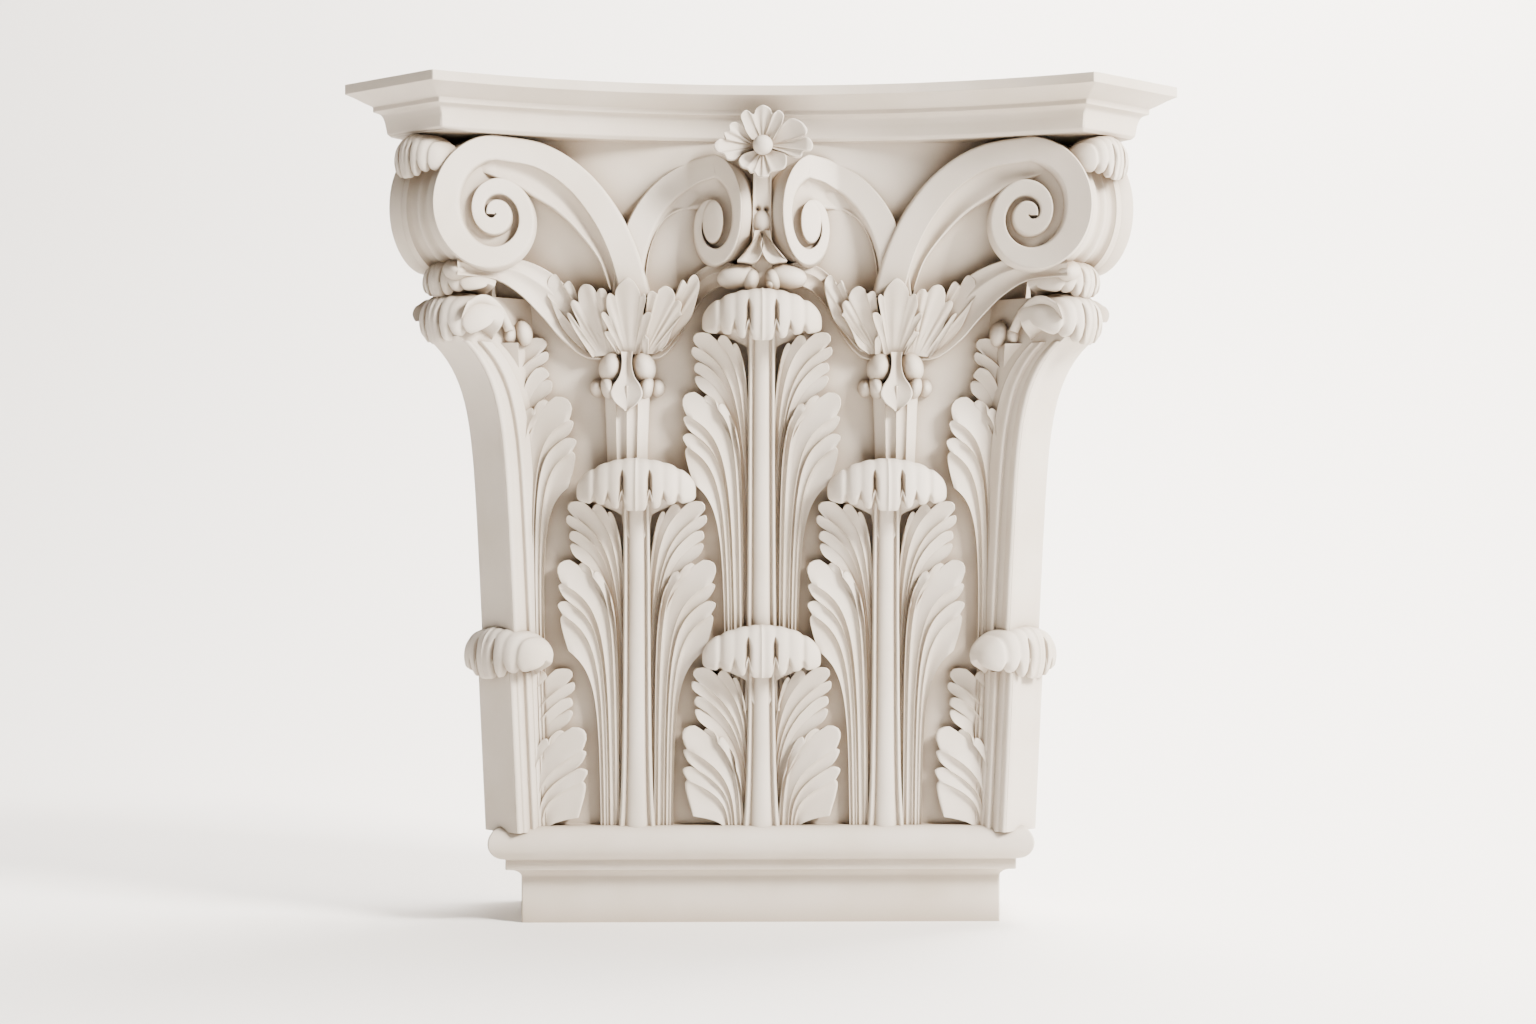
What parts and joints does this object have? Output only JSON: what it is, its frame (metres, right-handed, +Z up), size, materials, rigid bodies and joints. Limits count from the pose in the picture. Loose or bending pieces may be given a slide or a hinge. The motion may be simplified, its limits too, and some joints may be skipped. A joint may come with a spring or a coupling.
{
  "type": "corinthian pilaster capital",
  "caption": "Cast plaster corinthian pilaster capital with acanthus leaves, corner volutes, inner helices, fleuron and a hollow-sided abacus.",
  "frame": {"origin": "centre of the bounding box at the underside of the neck block", "axes": "+Z up, +X to the viewer's right, +Y towards the wall; the carved front looks along -Y"},
  "size_m": [0.5684, 0.2286, 0.577],
  "materials": {
    "plaster": "matte"
  },
  "bodies": {
    "root": {"capital": "plaster"}
  },
  "joints": []
}
